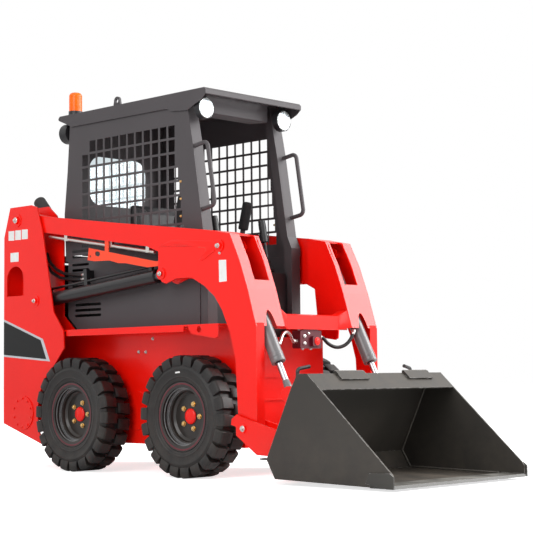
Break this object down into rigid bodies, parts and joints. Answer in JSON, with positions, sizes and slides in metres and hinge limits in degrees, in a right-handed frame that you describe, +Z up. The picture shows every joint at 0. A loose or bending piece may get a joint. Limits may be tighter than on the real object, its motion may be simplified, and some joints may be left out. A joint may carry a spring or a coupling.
{
  "type": "skid steer loader",
  "caption": "Compact skid steer loader with red frame and arms, screened dark cab, four lugged tyres and a bucket resting on the ground.",
  "frame": {"origin": "on the ground, under the middle of the machine's length and width", "axes": "+X forward along the machine, +Y to its left, +Z up"},
  "size_m": [2.886, 1.016, 2.1186],
  "materials": {
    "amber_lens": "translucent",
    "barrel_paint": "satin",
    "bucket_paint": "satin",
    "cab_paint": "satin",
    "clear_lens": "clear",
    "engine_iron": "rough",
    "grip_plastic": "matte",
    "hose_rubber": "matte",
    "lock_paint": "satin",
    "pad_foam": "matte",
    "pane": "clear",
    "pipe_metal": "satin",
    "red_lens": "translucent",
    "red_paint": "satin",
    "rim_paint": "satin",
    "rod_chrome": "polished",
    "seat_cover": "matte",
    "tyre_rubber": "matte",
    "valve_paint": "satin",
    "worn_steel": "worn"
  },
  "bodies": {
    "chassis": {"beacon_base": "grip_plastic", "beacon_lens": "amber_lens", "cab_floor": "cab_paint", "cab_rear": "cab_paint", "cab_roof": "cab_paint", "cab_side_left": "cab_paint", "cab_side_right": "cab_paint", "consoles": "grip_plastic", "control_levers": "grip_plastic", "counterweight": "red_paint", "engine_block": "engine_iron", "engine_hood": "cab_paint", "exhaust": "engine_iron", "fenders": "red_paint", "front_posts": "cab_paint", "grab_handles": "cab_paint", "lamp_housings": "grip_plastic", "lamp_lenses": "clear_lens", "lap_brackets": "cab_paint", "lower_frame": "red_paint", "rear_glass": "pane", "seat": "seat_cover", "side_panels": "cab_paint", "tail_lamps": "red_lens", "tower_left": "red_paint", "tower_right": "red_paint"},
    "rear_door": {"rear_door": "cab_paint"},
    "lap_bar": {"lap_bar": "pad_foam"},
    "loader_arms": {"arm_right": "red_paint", "arm_left": "red_paint", "cross_member": "red_paint", "lock_bar": "lock_paint", "arm_pipes": "pipe_metal", "tilt_hoses": "hose_rubber", "valve_block": "valve_paint"},
    "lift_barrels": {"lift_barrels": "barrel_paint", "lift_hoses": "hose_rubber"},
    "lift_rods": {"lift_rods": "rod_chrome"},
    "tilt_barrels": {"tilt_barrels": "barrel_paint"},
    "tilt_rods": {"tilt_rods": "rod_chrome"},
    "bucket": {"coupler": "red_paint", "bucket": "bucket_paint", "cutting_edge": "worn_steel", "latch_levers": "barrel_paint"},
    "wheel_front_right": {"tyre_front_right": "tyre_rubber", "wheel_front_right": "rim_paint"},
    "wheel_front_left": {"tyre_front_left": "tyre_rubber", "wheel_front_left": "rim_paint"},
    "wheel_rear_right": {"tyre_rear_right": "tyre_rubber", "wheel_rear_right": "rim_paint"},
    "wheel_rear_left": {"tyre_rear_left": "tyre_rubber", "wheel_rear_left": "rim_paint"}
  },
  "joints": [
    {"name": "lift", "type": "hinge", "parent": "chassis", "child": "loader_arms", "pos_m": [-1.32, 0, 1.398], "axis": [0, -1, 0], "range_deg": [0, 60]},
    {"name": "lift_barrel_swing", "type": "hinge", "parent": "chassis", "child": "lift_barrels", "pos_m": [-1.145, 0, 0.933], "axis": [0, -1, 0], "range_deg": [0, 55.3]},
    {"name": "lift_rod_travel", "type": "slide", "parent": "lift_barrels", "child": "lift_rods", "axis": [0.9956, 0, 0.0933], "range_m": [0, 0.486]},
    {"name": "tilt", "type": "hinge", "parent": "loader_arms", "child": "bucket", "pos_m": [0.493, 0, 0.254], "axis": [0, 1, 0], "range_deg": [-26, 92]},
    {"name": "tilt_barrel_swing", "type": "hinge", "parent": "loader_arms", "child": "tilt_barrels", "pos_m": [0.319, 0, 1.145], "axis": [0, 1, 0], "range_deg": [-1.6, 5.6]},
    {"name": "tilt_rod_travel", "type": "slide", "parent": "tilt_barrels", "child": "tilt_rods", "axis": [0.4531, 0, -0.8915], "range_m": [-0.09, 0.316]},
    {"name": "rear_door_swing", "type": "hinge", "parent": "chassis", "child": "rear_door", "pos_m": [-1.433, 0.246, 0.87], "axis": [0, 0, -1], "range_deg": [0, 100]},
    {"name": "lap_bar_swing", "type": "hinge", "parent": "chassis", "child": "lap_bar", "pos_m": [-0.431, 0, 0.945], "axis": [0, 1, 0], "range_deg": [0, 38]},
    {"name": "roll_front_right", "type": "hinge", "parent": "chassis", "child": "wheel_front_right", "pos_m": [0.069, -0.401, 0.306], "axis": [0, 1, 0], "continuous": true},
    {"name": "roll_front_left", "type": "hinge", "parent": "chassis", "child": "wheel_front_left", "pos_m": [0.069, 0.401, 0.306], "axis": [0, 1, 0], "continuous": true},
    {"name": "roll_rear_right", "type": "hinge", "parent": "chassis", "child": "wheel_rear_right", "pos_m": [-0.811, -0.401, 0.306], "axis": [0, 1, 0], "continuous": true},
    {"name": "roll_rear_left", "type": "hinge", "parent": "chassis", "child": "wheel_rear_left", "pos_m": [-0.811, 0.401, 0.306], "axis": [0, 1, 0], "continuous": true}
  ],
  "couplings": [
    {"joint": "lift_barrel_swing", "follows": "lift", "ratio": 0.9208},
    {"joint": "lift_rod_travel", "follows": "lift", "m_per_rad": 0.4638},
    {"joint": "tilt_barrel_swing", "follows": "tilt", "ratio": 0.06},
    {"joint": "tilt_rod_travel", "follows": "tilt", "m_per_rad": 0.196}
  ]
}
